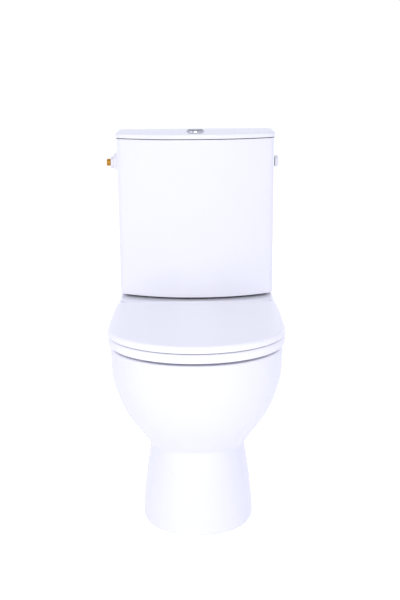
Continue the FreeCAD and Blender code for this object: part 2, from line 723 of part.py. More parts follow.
plug_shank = turned("blanking_plug", [
    (0, 0), (d.plug_r, 0), (d.plug_r, 29), (13, 29), (13, 34.5), (11.5, 36.5), (0, 36.5)],
    (d.plug_boss_x + 1.6 - 29, side_y, d.side_hole_z), "x")
plug_washer = washer("blanking_washer", 10.5, d.plug_r + 0.2, 1.6,
                     (d.plug_boss_x, side_y, d.side_hole_z), "x")
plug_hex = hexagon("plug_hex", 15, 8, (inner_x - 8, side_y, d.side_hole_z), "x")
plug_bore = cylinder("plug_bore", d.plug_r + 0.2, 20, (inner_x - 14, side_y, d.side_hole_z), "x")
plug_nut = cut("blanking_nut", plug_hex, [plug_bore])


# ---------------------------------------------------------------- hinge

hinge_y = from_wall(d.hinge_d)


def hinge_post(side, name):
    """A round foot with an upright ear that holds the pin."""
    x = side * d.hinge_x
    foot = turned(name + "_foot", [(0, 0), (16, 0), (16, 2.5), (14.5, 4), (0, 4)], (x, hinge_y, d.rim_z))
    ear_low = x - d.post_half_w
    ear = block(name + "_ear", (2 * d.post_half_w, 2 * d.knuckle_r, d.hinge_z - d.rim_z - 3),
                (ear_low, hinge_y - d.knuckle_r, d.rim_z + 3))
    top = cylinder(name + "_top", d.knuckle_r, 2 * d.post_half_w, (ear_low, hinge_y, d.hinge_z), "x")
    bore = cylinder(name + "_bore", d.pin_r + 0.1, 30, (x - 15, hinge_y, d.hinge_z), "x")
    socket = cylinder(name + "_socket", d.hinge_bolt_r + 0.1, 8, (x, hinge_y, d.rim_z - 5))
    return cut(name, fused(name + "_solid", [foot, ear, top]), [bore, socket])


hinge_posts = both_sides("hinge_posts", hinge_post)
hinge_pins = both_sides("hinge_pins", lambda side, name: cylinder(
    name, d.pin_r, 2 * d.knuckle_end + 1,
    (side * d.hinge_x - d.knuckle_end - 0.5, hinge_y, d.hinge_z), "x"))
hinge_bolts = both_sides("hinge_bolts", lambda side, name: cylinder(
    name, d.hinge_bolt_r, 67.5, (side * d.hinge_x, hinge_y, 328)))
# the thick solid rim carries the seat; washers and nuts bear on its underside
hinge_washers = both_sides("hinge_washers", lambda side, name: washer(
    name, 14, d.hinge_bolt_r + 0.2, 3, (side * d.hinge_x, hinge_y, d.under_rim_z - 3)))
hinge_nuts = both_sides("hinge_wing_nuts", lambda side, name: wing_nut(
    name, side * d.hinge_x, hinge_y, d.under_rim_z - 3, d.hinge_bolt_r))


# ---------------------------------------------------------------- seat ring and cover

def knuckle(side, lane, reach_depth, z_low, z_high):
    """A hinge eye on the outer (+1) or inner (-1) side of a post, with its web to the seat."""
    clear = sheet.post_half_w + 0.6
    near = side * sheet.hinge_x + side * lane * clear
    far = side * sheet.hinge_x + side * lane * sheet.knuckle_end
    low = min(near, far)
    wide = abs(far - near)
    eye = Part.makeCylinder(sheet.knuckle_r, wide, Vector(low, WALL - sheet.hinge_d, sheet.hinge_z),
                            Vector(1, 0, 0))
    depth0, depth1 = reach_depth
    return eye.fuse(box_between(low, low + wide, depth0, depth1, z_low, z_high))


def pin_bores():
    length = 2 * sheet.knuckle_end + 10
    return [Part.makeCylinder(sheet.pin_r + 0.4, length,
                              Vector(side * sheet.hinge_x - length / 2, WALL - sheet.hinge_d, sheet.hinge_z),
                              Vector(1, 0, 0)) for side in SIDES]


def ring_shape():
    low = sheet.ring_low_z
    high = sheet.ring_top_z
    slab = prism(seat_wire(low, 0.6, sheet.ring_back_d), high - low)
    corners = edges_where(slab, lambda b: b.ZLength > 10 and b.XLength < 1 and b.YLength < 1)
    slab = slab.makeFillet(16, corners)
    hole = prism(egg_wire(low - 5, sheet.seat_hole_half_w, sheet.seat_hole_front_d,
                          sheet.seat_hole_back_d, 453, 2.15, 2.15), high - low + 10)
    slab = slab.cut(hole)
    slab = slab.makeFillet(6, level_edges(slab, high))
    slab = slab.makeFillet(4, level_edges(slab, low))
    for side in SIDES:
        x = side * sheet.hinge_x
        slab = slab.cut(box_between(x - 21, x + 21, 210, 254, low - 5, high + 5))
    r = sheet.knuckle_r
    for side in SIDES:
        eye = knuckle(side, -1, (sheet.hinge_d, 258), sheet.hinge_z - r + 0.5, sheet.hinge_z + r)
        slab = slab.fuse(eye)
    return slab.cut(pin_bores()[0].fuse(pin_bores()[1]))


ring = solid("seat_ring", ring_shape())


def cover_shape():
    low = sheet.cover_low_z
    high = sheet.cover_top_z
    slab = prism(seat_wire(low), high - low)
    corners = edges_where(slab, lambda b: b.ZLength > 10 and b.XLength < 1 and b.YLength < 1)
    slab = slab.makeFillet(16, corners)
    slab = slab.makeFillet(6.5, level_edges(slab, high))
    wall = sheet.cover_wall
    dish = prism(seat_wire(low - 5, wall), high - low + 5 - sheet.cover_plate_t)
    slab = slab.cut(dish)
    r = sheet.knuckle_r
    for side in SIDES:
        eye = knuckle(side, 1, (sheet.hinge_d - r, sheet.hinge_d + r), sheet.hinge_z, high - 3)
        slab = slab.fuse(eye)
    return slab.cut(pin_bores()[0].fuse(pin_bores()[1]))


cover = solid("seat_cover", cover_shape())

BUFFERS = [(150, 335), (110, 560)]


def seat_buffer(side, x, depth, name):
    gap = d.ring_low_z - d.rim_z
    return block(name, (14, 24, gap - 0.2), (side * x - 7, from_wall(depth) - 12, d.rim_z + 0.2))


seat_buffers = group("seat_buffers", [
    seat_buffer(side, x, depth, f"seat_buffer_{k}{'L' if side < 0 else 'R'}")
    for k, (x, depth) in enumerate(BUFFERS) for side in SIDES])
cover_buffers = group("cover_buffers", [
    cylinder(f"cover_buffer_{k}{'L' if side < 0 else 'R'}", 6.5,
             d.cover_top_z - d.cover_plate_t - d.ring_top_z - 0.2,
             (side * (x - 4), from_wall(depth - 5), d.ring_top_z + 0.2))
    for k, (x, depth) in enumerate(BUFFERS) for side in SIDES])


# ---------------------------------------------------------------- checks and export

NODES = [pan, tank, lid, coupling_washer, flush_backnut, pads, coupling_bolts, coupling_seals,
         coupling_washers, coupling_nuts, valve_base, valve_gasket, tower, head, overflow_tube,
         flush_seal, bezel, housing_drilled, lock_nut, full_button, half_button_part, full_rod,
         half_rod, shank, inlet_washer, inlet_nut, fill_valve, fill_tube, float_arm, float_cup,
         plug_shank, plug_washer, plug_nut, hinge_posts, hinge_pins, hinge_bolts, hinge_washers,
         hinge_nuts, ring, cover, seat_buffers, cover_buffers]

doc.recompute()
bad = [obj.Name for obj in doc.Objects if {"Invalid", "Error"} & set(obj.State)]
print("objects in error:", bad)
for node in NODES:
    shape = node.Shape
    assert not shape.isNull(), node.Name
    assert shape.isValid(), node.Name
    name = "button_housing" if node is housing_drilled else node.Name
    box = shape.BoundBox
    print(f"{name:24s} solids {len(shape.Solids)} volume {shape.Volume / 1000:9.2f} cm3  "
          f"x {box.XMin:.1f}..{box.XMax:.1f}  y {box.YMin:.1f}..{box.YMax:.1f}  "
          f"z {box.ZMin:.1f}..{box.ZMax:.1f}")
    shape.exportStep(f"parts/{name}.step")
assert not bad
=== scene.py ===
# %% [markdown]
# A close-coupled toilet in white vitreous china, with a duroplast seat and cover, a chromed push button
# and a brass water inlet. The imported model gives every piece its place. This lesson gives the pieces
# their soft glazed shapes and their finishes, one cell at a time.

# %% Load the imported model
import json
import math

import bmesh
import bpy
from mathutils import Matrix, Vector

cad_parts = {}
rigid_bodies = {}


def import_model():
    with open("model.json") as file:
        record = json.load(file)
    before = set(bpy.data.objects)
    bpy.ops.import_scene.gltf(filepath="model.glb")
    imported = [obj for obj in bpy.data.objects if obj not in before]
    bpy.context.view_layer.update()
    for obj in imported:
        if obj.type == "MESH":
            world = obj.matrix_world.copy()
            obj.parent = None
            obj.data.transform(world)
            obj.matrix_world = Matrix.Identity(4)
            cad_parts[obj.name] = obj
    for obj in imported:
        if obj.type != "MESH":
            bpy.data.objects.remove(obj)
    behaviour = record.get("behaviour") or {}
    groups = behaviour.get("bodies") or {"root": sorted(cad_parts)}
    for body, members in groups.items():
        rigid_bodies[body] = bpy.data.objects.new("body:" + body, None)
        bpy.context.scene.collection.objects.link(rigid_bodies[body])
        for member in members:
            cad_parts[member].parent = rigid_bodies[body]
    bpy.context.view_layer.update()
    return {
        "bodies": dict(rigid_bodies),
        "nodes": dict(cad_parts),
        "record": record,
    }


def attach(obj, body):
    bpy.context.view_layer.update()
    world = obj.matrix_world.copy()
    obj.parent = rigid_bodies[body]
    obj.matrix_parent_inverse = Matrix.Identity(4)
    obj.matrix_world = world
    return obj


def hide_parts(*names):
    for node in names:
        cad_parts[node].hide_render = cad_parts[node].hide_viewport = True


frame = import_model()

MM = 0.001
WALL = 215.0  # the wall plane's Y; depths below are measured out from it, in mm
BUTTON_DEPTH = 95.0  # the push button's axis
SIDE_DEPTH, SIDE_Z = 72, 728.5  # the axis of the inlet
BOSS_Z = 730.5  # the bosses sit a little above that axis
HINGE_DEPTH, HINGE_Z, POST_X = 232, 410.5, 77.5  # the hinge line, and how far out each post stands
print("pieces in the model:", len(frame["nodes"]))

# %% [markdown]
# The camera stands a little over three metres out from the wall, just above the cistern, and looks down
# by about twelve degrees. A long lens keeps the upright sides of the cistern nearly parallel. It is
# rolled by under half a degree, as a hand-set tripod often is.

# %% Camera
camera_data = bpy.data.cameras.new("camera")
camera_data.lens = 78.13
camera_data.sensor_width = 36.0
camera = bpy.data.objects.new("camera", camera_data)
bpy.context.scene.collection.objects.link(camera)
camera.matrix_world = (
    Matrix.Translation(Vector((0.0076, (WALL - 3054.2) * MM, 1.033)))
    @ Matrix.Rotation(math.radians(90 - 11.9), 4, "X")
    @ Matrix.Rotation(math.radians(-0.45), 4, "Z"))
bpy.context.scene.camera = camera
print("camera lens", camera_data.lens)

# %% [markdown]
# Colours are written the way a paint chart gives them, as hex values, and turned to linear light by one
# function. One more function adds a node, sets its values and links it, which keeps each finish short.

# %% Colour and node helpers
def linear(hex_colour):
    """An sRGB hex colour as linear RGBA."""
    parts = [int(hex_colour[k:k + 2], 16) / 255 for k in (1, 3, 5)]
    return [c / 12.92 if c <= 0.04045 else ((c + 0.055) / 1.055) ** 2.4 for c in parts] + [1.0]


def add(tree, kind, values=None, wires=None, **settings):
    """Adds one node with its settings, its socket values and its links."""
    node = tree.nodes.new(kind)
    for name, value in settings.items():
        setattr(node, name, value)
    for socket, value in (values or {}).items():
        node.inputs[socket].default_value = value
    for socket, source in (wires or {}).items():
        tree.links.new(source, node.inputs[socket])
    return node


print("white glaze in linear light", [round(c, 3) for c in linear("#F4F4F9")])

# %% [markdown]
# The studio is a white sweep under soft light. A broad softbox in front makes the surfaces that face it
# brightest, and a dim sky fills the sides and the tops. The sky looks plain white to the camera but sends
# the china less light than that, because a brighter one would wash out the shading.

# %% Sky and softboxes
world = bpy.data.worlds.new("studio")
bpy.context.scene.world = world
world.use_nodes = True
sky = world.node_tree
sky.nodes.clear()
seen = add(sky, "ShaderNodeBackground", {"Color": (1, 1, 1, 1), "Strength": 1.05})
fill = add(sky, "ShaderNodeBackground", {"Color": linear("#F0F1FF"), "Strength": 0.78})
path = add(sky, "ShaderNodeLightPath")
mix = add(sky, "ShaderNodeMixShader",
          wires={0: path.outputs["Is Camera Ray"], 1: fill.outputs[0], 2: seen.outputs[0]})
add(sky, "ShaderNodeOutputWorld", wires={"Surface": mix.outputs[0]})
bpy.context.scene.view_settings.view_transform = "Standard"


def softbox(name, place, aim, size, power):
    """A square area light turned to face a point."""
    lamp = bpy.data.lights.new(name, "AREA")
    lamp.shape = "SQUARE"
    lamp.size = size
    lamp.energy = power
    box = bpy.data.objects.new(name, lamp)
    bpy.context.scene.collection.objects.link(box)
    place = Vector(place)
    turn = (Vector(aim) - place).to_track_quat("-Z", "Y").to_matrix().to_4x4()
    box.matrix_world = Matrix.Translation(place) @ turn


softbox("front_softbox", (0.0, -3.6, 1.7), (0, 0, 0.45), 2.2, 43)
softbox("left_softbox", (-2.6, -1.6, 1.6), (0, 0, 0.5), 1.6, 6)

# %% [markdown]
# A glowing card behind the toilet gives the glaze something pale to mirror. It fades towards its top, and
# the camera doesn't see it. Its helpers serve later cells as well: one starts a material with no nodes,
# one turns a working mesh into a lasting one, and one links a mesh as part of the studio.

# %% Rear card
def blank_material(name):
    """A new material with an empty node tree."""
    material = bpy.data.materials.new(name)
    material.use_nodes = True
    material.node_tree.nodes.clear()
    return material


def written(name, bm):
    """Turns a working mesh into a lasting one."""
    mesh = bpy.data.meshes.new(name)
    bm.to_mesh(mesh)
    bm.free()
    return mesh


def staged(name, bm, material):
    """Links a working mesh as a piece of the studio."""
    mesh = written(name, bm)
    mesh.materials.append(material)
    prop = bpy.data.objects.new(name, mesh)
    bpy.context.scene.collection.objects.link(prop)
    return prop


card_paper = blank_material("rear_card_paper")
tree = card_paper.node_tree
spot = add(tree, "ShaderNodeTexCoord")
split = add(tree, "ShaderNodeSeparateXYZ", wires={0: spot.outputs["Object"]})
fade = add(tree, "ShaderNodeMapRange",
           {"From Min": 0.80, "From Max": 0.88, "To Min": 1.45, "To Max": 1.0}, {"Value": split.outputs["Z"]})
glow = add(tree, "ShaderNodeEmission", {"Color": linear("#F0F1FF")}, {"Strength": fade.outputs["Result"]})
add(tree, "ShaderNodeOutputMaterial", wires={"Surface": glow.outputs[0]})
half_wide, half_high, behind, middle = 1.6, 0.7, 1.2, 0.95
bm = bmesh.new()
bmesh.ops.create_grid(bm, x_segments=1, y_segments=1, size=1.0)
for corner in bm.verts:
    corner.co = Vector((corner.co.x * half_wide, behind, middle + corner.co.y * half_high))
card = staged("rear_card", bm, card_paper)
card.visible_camera = False
print("card width", 2 * half_wide)

# %% [markdown]
# The floor is white paper. To the camera it glows, so that it runs into the white background. To the
# object it glows only faintly, because a bright floor would wash out the shading under the bowl.

# %% Floor
paper = blank_material("white_sweep_paper")
tree = paper.node_tree
dull = add(tree, "ShaderNodeBsdfDiffuse", {"Color": linear("#EEEEF2")})
faint = add(tree, "ShaderNodeEmission", {"Color": linear("#F2F3FF"), "Strength": 0.27})
for_object = add(tree, "ShaderNodeAddShader", wires={0: dull.outputs[0], 1: faint.outputs[0]})
white = add(tree, "ShaderNodeBsdfDiffuse", {"Color": linear("#F4F4F6")})
bright = add(tree, "ShaderNodeEmission", {"Color": (1, 1, 1, 1), "Strength": 0.60})
for_camera = add(tree, "ShaderNodeAddShader", wires={0: white.outputs[0], 1: bright.outputs[0]})
path = add(tree, "ShaderNodeLightPath")
sweep = add(tree, "ShaderNodeMixShader",
            wires={0: path.outputs["Is Camera Ray"], 1: for_object.outputs[0], 2: for_camera.outputs[0]})
add(tree, "ShaderNodeOutputMaterial", wires={"Surface": sweep.outputs[0]})
floor_reach = 7.0
bm = bmesh.new()
bmesh.ops.create_grid(bm, x_segments=1, y_segments=1, size=floor_reach)
staged("floor", bm, paper)
print("floor reach", floor_reach)

# %% [markdown]
# Every finish here is a solid colour under a clear, more or less smooth skin. What tells them apart is how
# sharp the reflections are and how much the skin ripples: fired glaze has a slow waviness a centimetre
# across, moulded plastic a finer one, rubber is matt and grained. So one recipe takes those numbers.

# %% Recipe for a moulded or glazed skin
def skin(name, colour, other, rough, rough_spread, ripple_mm, ripple_height_mm, metallic=0.0, ior=None):
    """A finish with a slow ripple, a faint change of tone and a changing gloss."""
    material = bpy.data.materials.new(name)
    material.use_nodes = True
    tree = material.node_tree
    body = tree.nodes["Principled BSDF"]
    where = add(tree, "ShaderNodeTexCoord")
    ripple = add(tree, "ShaderNodeTexNoise", {"Scale": 1 / (ripple_mm * MM), "Detail": 2.0, "Roughness": 0.4},
                 {"Vector": where.outputs["Object"]})
    cloud = add(tree, "ShaderNodeTexNoise", {"Scale": 1 / (ripple_mm * 9 * MM), "Detail": 3.0},
                {"Vector": where.outputs["Object"]})
    tone = add(tree, "ShaderNodeMix", {6: linear(colour), 7: linear(other)},
               {0: cloud.outputs["Fac"]}, data_type="RGBA")
    gloss = add(tree, "ShaderNodeMapRange", {"To Min": rough, "To Max": rough + rough_spread},
                {"Value": cloud.outputs["Fac"]})
    bump = add(tree, "ShaderNodeBump", {"Strength": 1.0, "Distance": ripple_height_mm * MM},
               {"Height": ripple.outputs["Fac"]})
    tree.links.new(tone.outputs[2], body.inputs["Base Color"])
    tree.links.new(gloss.outputs["Result"], body.inputs["Roughness"])
    tree.links.new(bump.outputs["Normal"], body.inputs["Normal"])
    body.inputs["Metallic"].default_value = metallic
    if ior:
        body.inputs["IOR"].default_value = ior
    return material


print("recipe ready")

# %% [markdown]
# Vitreous china is fired clay under a thick white glass glaze. The glaze reads as cool white with sharp,
# slightly wavy reflections. The seat is duroplast, a pressed white resin whose reflections are softer than
# the china's. The button is chromed ABS with a faint softness from the plastic below. Its collar is given a
# pale chromed colour as a painted highlight, and its two buttons a dark one as a painted dark reflection.

# %% Finishes
china = skin("vitreous_china_glaze", "#F3F3F8", "#F1F1F7", 0.07, 0.03, 14, 0.012, ior=1.52)
duroplast = skin("duroplast_pressed_white", "#F9F9FD", "#F7F7FC", 0.28, 0.05, 9, 0.006, ior=1.54)
# Two painted copies of one chromed finish: the collar's pale one is a painted highlight, the buttons' dark
# one a painted dark reflection.
chrome_painted_highlight = skin("chromed_collar_painted_highlight", "#DADCE2", "#D3D5DB", 0.06, 0.04, 12, 0.003, metallic=1.0)
chrome_painted_dark_reflection = skin("chromed_abs", "#74767B", "#6E7075", 0.05, 0.04, 12, 0.004, metallic=1.0)
brass = skin("turned_brass", "#D09A3C", "#C28A2E", 0.12, 0.06, 2, 0.010, metallic=1.0)
white_plastic = skin("moulded_white_polypropylene", "#EDEEF0", "#E6E7EA", 0.32, 0.08, 3, 0.010, ior=1.49)
grey_plastic = skin("moulded_grey_polypropylene", "#A9ADB2", "#A0A4AA", 0.35, 0.08, 3, 0.010, ior=1.49)
rubber = skin("black_epdm_rubber", "#1B1B1C", "#232324", 0.62, 0.12, 1.5, 0.03, ior=1.52)
soft_white = skin("soft_white_buffer_plastic", "#E3E4E6", "#D8DADD", 0.45, 0.10, 2.5, 0.02, ior=1.46)
# A dark grey-brown bisque: the bare fired body of the rims, darkened as painted shade for the gaps there.
bisque_with_painted_shade = skin("bisque_and_painted_gap_shade", "#A39A90", "#988F86", 0.80, 0.10, 1.2, 0.02, ior=1.45)
steel = skin("stainless_steel_pin", "#B9BABD", "#A9AAAE", 0.20, 0.12, 1.5, 0.006, metallic=1.0)
FINISHES = {"vitreous_china": china, "duroplast_white": duroplast, "chromed_abs": chrome_painted_dark_reflection, "brass": brass,
            "white_plastic": white_plastic, "grey_plastic": grey_plastic, "black_rubber": rubber,
            "clear_buffer": soft_white, "stainless": steel}
for row in frame["record"]["subparts"]:
    mesh = frame["nodes"][row["node"]].data
    mesh.materials.clear()
    mesh.materials.append(FINISHES[row["material_slot"]])
print("finishes", sorted(FINISHES))

# %% [markdown]
# A small kit makes the shapes. `finished` links a mesh as a piece, lets it ride on its moving body and
# hides the plain pieces it stands for. `bisque_and_painted_shade_faces` shows some of its faces as bare
# bisque in a dark tone that is partly painted shade. `merged` joins the loose corners of a plain piece, and
# `with_modifiers` applies a list of modifiers. `smooth_by_angle` shades a mesh softly and keeps real edges.

# %% Kit for pieces
def finished(name, mesh, body, slot, *nodes):
    """Links a mesh as a piece that rides on a body and stands for its plain model."""
    mesh.materials.clear()
    mesh.materials.append(FINISHES[slot])
    piece = bpy.data.objects.new(name, mesh)
    bpy.context.scene.collection.objects.link(piece)
    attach(piece, body)
    if nodes:
        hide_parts(*nodes)
    return piece


def bisque_and_painted_shade_faces(piece, low, high):
    """Shows the faces between two heights as bisque instead of glaze, in a dark tone that is partly painted
    shade.
    """
    piece.data.materials.append(bisque_with_painted_shade)
    for face in piece.data.polygons:
        if low * MM < face.center.z < high * MM:
            face.material_index = 1


def merged(node):
    """A working mesh of the node with its loose corners joined."""
    bm = bmesh.new()
    bm.from_mesh(frame["nodes"][node].data)
    bmesh.ops.remove_doubles(bm, verts=bm.verts, dist=1e-6)
    return bm


def with_modifiers(mesh, *steps):
    """The mesh after a list of (kind, settings) modifiers."""
    holder = bpy.data.objects.new("holder", mesh)
    bpy.context.scene.collection.objects.link(holder)
    for kind, settings in steps:
        step = holder.modifiers.new(kind.lower(), kind)
        for name, value in settings.items():
            setattr(step, name, value)
    graph = bpy.context.evaluated_depsgraph_get()
    made = bpy.data.meshes.new_from_object(holder.evaluated_get(graph))
    bpy.data.objects.remove(holder)
    return made


def smooth_by_angle(mesh, degrees=35):
    """Soft shading everywhere but at edges sharper than the angle."""
    mesh.polygons.foreach_set("use_smooth", [True] * len(mesh.polygons))
    mesh.set_sharp_from_angle(angle=math.radians(degrees))
    return mesh


print("kit ready")

# %% [markdown]
# Most large pieces here are skins drawn through closed rings, like a stack of hoops with cloth pulled over
# them. The first ring is a circle whose corners are moved to their places. Each further ring is an
# extrusion of the last one's edges. The two end rings are filled, or joined to each other.

# %% Skins drawn through rings
def ring_skin(bm, rings, join=False):
    """Adds a quad skin through closed rings of equal length; its ends are filled, or joined."""
    row = bmesh.ops.create_circle(bm, segments=len(rings[0]), radius=1.0)["verts"]
    edges = list({edge for corner in row for edge in corner.link_edges})
    first = list(edges)
    for corner, place in zip(row, rings[0]):
        corner.co = place
    for ring in rings[1:]:
        made = bmesh.ops.extrude_edge_only(bm, edges=edges)["geom"]
        fresh = {item for item in made if isinstance(item, bmesh.types.BMVert)}
        edges = [item for item in made if isinstance(item, bmesh.types.BMEdge)
                 and item.verts[0] in fresh and item.verts[1] in fresh]
        row = [next(edge.other_vert(corner) for edge in corner.link_edges if edge.other_vert(corner) in fresh)
               for corner in row]
        for corner, place in zip(row, ring):
            corner.co = place
    if join:
        bmesh.ops.bridge_loops(bm, edges=edges + first)
    else:
        bmesh.ops.contextual_create(bm, geom=first)
        bmesh.ops.contextual_create(bm, geom=edges)


def mesh_of(name, bm, degrees=35):
    """Turns the working mesh into a finished one with its faces looking outwards."""
    bmesh.ops.recalc_face_normals(bm, faces=bm.faces)
    return smooth_by_angle(written(name, bm), degrees)


def quarter(radius, steps=5):
    """A quarter round as (inwards, along) pairs, from the side to the top."""
    turns = [math.pi / 2 * k / steps for k in range(steps + 1)]
    return [(radius * (1 - math.cos(a)), radius * math.sin(a)) for a in turns]


def upright_circle(x, depth, z, radius, count=48):
    """A circle across the X axis; the radius is one number, or a function of the angle."""
    turns = [2 * math.pi * k / count for k in range(count)]
    reach = [radius(a) if callable(radius) else radius for a in turns]
    return [Vector((x, WALL - depth + r * math.cos(a), z + r * math.sin(a))) * MM
            for a, r in zip(turns, reach)]


def box_between(bm, low, high):
    """Adds a box given by its low and high corners in mm, and returns its corners."""
    corners = bmesh.ops.create_cube(bm, size=1.0)["verts"]
    for corner in corners:
        corner.co = Vector([(low[i] if corner.co[i] < 0 else high[i]) * MM for i in range(3)])
    return corners


def mirrored(right, z):
    """A closed ring from the right half's (x, depth) pairs, which start and end on the middle line."""
    left = [(-x, depth) for x, depth in reversed(right[1:-1])]
    return [Vector((x, WALL - depth, z)) * MM for x, depth in right + left]


print("a 5 mm quarter round:", [(round(a, 2), round(b, 2)) for a, b in quarter(5)])

# %% [markdown]
# The pan is one slip-cast piece: bowl, foot, rear deck and waterways in a single skin. A casting has no
# sharp edges, because the slip and the glaze round every corner. Modelling each rounding by hand would
# take a fillet at every crossing of two lofts. Remeshing a copy of the solid into small even quads and
# letting them relax rounds all of them at once, as the glaze does.

# %% Pan
voxel = 3.0 * MM
cast = with_modifiers(
    written("pan_copy", merged("pan")),
    ("REMESH", {"mode": "VOXEL", "voxel_size": voxel, "adaptivity": 0.0, "use_smooth_shade": True}),
    ("SMOOTH", {"factor": 0.5, "iterations": 6}))
finished("china_pan", smooth_by_angle(cast, 80), "pan_and_cistern", "vitreous_china", "pan")
print("pan faces", len(cast.polygons))

# %% [markdown]
# The relaxed skin softens every edge of the pan by the same amount, but the deck under the cistern is
# modelled with a crisper border. A slim frame over the skin restores that border with a 2 mm rounding.

# %% Deck border
def deck_ring(z, inset):
    """The deck's rectangular ring, with its corners rounded to 8 mm as seen from above."""
    half, front, rear = 174.1 - inset, 200.1 - inset, 15.9 + inset
    r = max(8.0 - inset, 2.0)
    right = [((half - r) * k / 6, front) for k in range(6)]
    right += [(half - along, front - inwards) for inwards, along in reversed(quarter(r, 5))]
    right += [(half, front - r + (rear + 2 * r - front) * k / 6) for k in range(1, 6)]
    right += [(half - inwards, rear + r - along) for inwards, along in quarter(r, 5)]
    right += [((half - r) * (1 - k / 6), rear) for k in range(1, 7)]
    return mirrored(right, z)


deck_foot, deck_top, rounding = 415, 428.05, 2
deck_rows = [deck_ring(deck_foot, 0), deck_ring(424.8, 0)]
deck_rows += [deck_ring(deck_top - rounding + along, inwards) for inwards, along in quarter(rounding, 4)]
deck_rows += [deck_ring(deck_top, 9), deck_ring(427, 9.6), deck_ring(deck_foot, 9.6)]
bm = bmesh.new()
ring_skin(bm, deck_rows, join=True)
border = finished("china_deck_border", mesh_of("china_deck_border", bm, 40), "pan_and_cistern",
                  "vitreous_china")
print("deck border faces", len(border.data.polygons))

# %% [markdown]
# Seen from above, the cistern has a straight back, straight sides and a bowed front with rounded corners.
# The outline walks its right half from the front to the back: the bow, the front corner, the side, the
# back corner and the back. The front corner is a conic arc, because the bow meets the side at 123 degrees.

# %% Cistern outline
def tank_outline(z, half_w=178.0, front=178.0, bow=49.0, inset=0.0):
    """The cistern's ring at a height, moved inwards by the inset."""
    half = half_w - inset
    nose = front - inset
    rear = 12.0 + inset
    front_r = max(26.0 - inset, 5.0)
    back_r = max(18.0 - inset, 5.0)
    bow_power = 2.2
    slope = bow_power * bow / half
    corner = math.pi / 2 + math.atan(slope)
    reach = front_r / math.tan(corner / 2)
    x_end = half - reach / math.hypot(1, slope)
    right = []
    for k in range(17):
        x = x_end * k / 16
        right.append((x, nose - bow * (x / half) ** bow_power))
    start, tip, end = right[-1], (half, nose - bow), (half, nose - bow - reach)
    for k in range(1, 8):
        t = k / 8
        weights = ((1 - t) ** 2, 2 * t * (1 - t) * math.sin(corner / 2), t ** 2)
        right.append(tuple(sum(w * p[i] for w, p in zip(weights, (start, tip, end))) / sum(weights)
                           for i in (0, 1)))
    for k in range(6):
        right.append((half, end[1] + (rear + back_r - end[1]) * k / 5))
    for inwards, along in quarter(back_r, 6)[1:]:
        right.append((half - inwards, rear + back_r - along))
    for k in range(1, 7):
        right.append(((half - back_r) * (1 - k / 6), rear))
    return mirrored(right, z)


TANK_FOOT, TANK_TOP = 433, 787
print("corners in a cistern ring:", len(tank_outline(TANK_TOP)))

# %% [markdown]
# The cistern tapers a little towards its foot. Its skin starts underneath, rounds the lower edge, climbs
# to the rim, turns over it and goes down inside. The rings beside each rounding hold it tight. Two raised
# bosses carry the side holes, the one for the inlet a little prouder. The rim's top is shown as bare bisque,
# which is a choice of this model; its dark grey-brown is also painted shade for the gap under the lid.

# %% Cistern
def tank_ring(z, inset):
    """The tapered cistern's ring at a height."""
    share = (z - TANK_FOOT) / (TANK_TOP - TANK_FOOT)
    return tank_outline(z, 174 + 4 * share, 182 - 4 * share, 52 - 3 * share, inset)


def boss(bm, side, profile):
    """A round boss on a side wall; the profile is (distance from the middle plane, radius)."""
    ring_skin(bm, [upright_circle(side * x, SIDE_DEPTH, BOSS_Z, r) for x, r in profile])


tank_rings = [tank_ring(TANK_FOOT, 30), tank_ring(TANK_FOOT, 4)]
tank_rings += [tank_ring(435.5 - along, inwards) for inwards, along in reversed(quarter(2.5))]
tank_rings += [tank_ring(z, 0) for z in (437, 520, 610, 700, 784.5)]
tank_rings += [tank_ring(786 + along, inwards) for inwards, along in quarter(1, 4)]
tank_rings += [tank_ring(785 + along, 9 - inwards) for inwards, along in reversed(quarter(2, 4))]
tank_rings += [tank_ring(783, 9), tank_ring(460, 9), tank_ring(453, 10), tank_ring(449, 13),
               tank_ring(447, 19), tank_ring(447, 60)]
bm = bmesh.new()
ring_skin(bm, tank_rings)
flare = [(168, 31), (175.6, 28), (176.8, 24), (178.2, 21.5)]
boss(bm, -1, flare + [(181, 19.6), (184.5, 18.3), (186.3, 17.3), (187, 16.0), (187, 4)])
boss(bm, 1, flare + [(178.9, 19.5), (179.5, 17.5), (179.5, 4)])
tank = finished("china_tank", mesh_of("china_tank", bm, 40), "pan_and_cistern", "vitreous_china",
                "cistern_tank")
# The rim's top is bisque darkened as painted shade for the gap under the lid.
bisque_and_painted_shade_faces(tank, 786.2, 787.5)
print("cistern faces", len(tank.data.polygons))

# %% [markdown]
# The lid is a slab with a rounded upper edge and a round hole for the button. It rests on a pad set in
# from its edge, so a fine dark line shows all round between lid and cistern. A lip below keeps it in
# place. The skin runs from the hole outwards over the top, round the edge, back below and up to the hole.
# The underside is shown as bare bisque like the rim it rests on; its dark tone is also painted shade.

# %% Lid
def hole_ring(z, radius):
    """A circle whose corners lie in the same directions as those of the cistern's outline."""
    centre = Vector((0, (WALL - BUTTON_DEPTH) * MM, z * MM))
    ring = []
    for corner in tank_outline(z):
        aim = corner - centre
        ring.append(centre + aim.normalized() * radius * MM)
    return ring


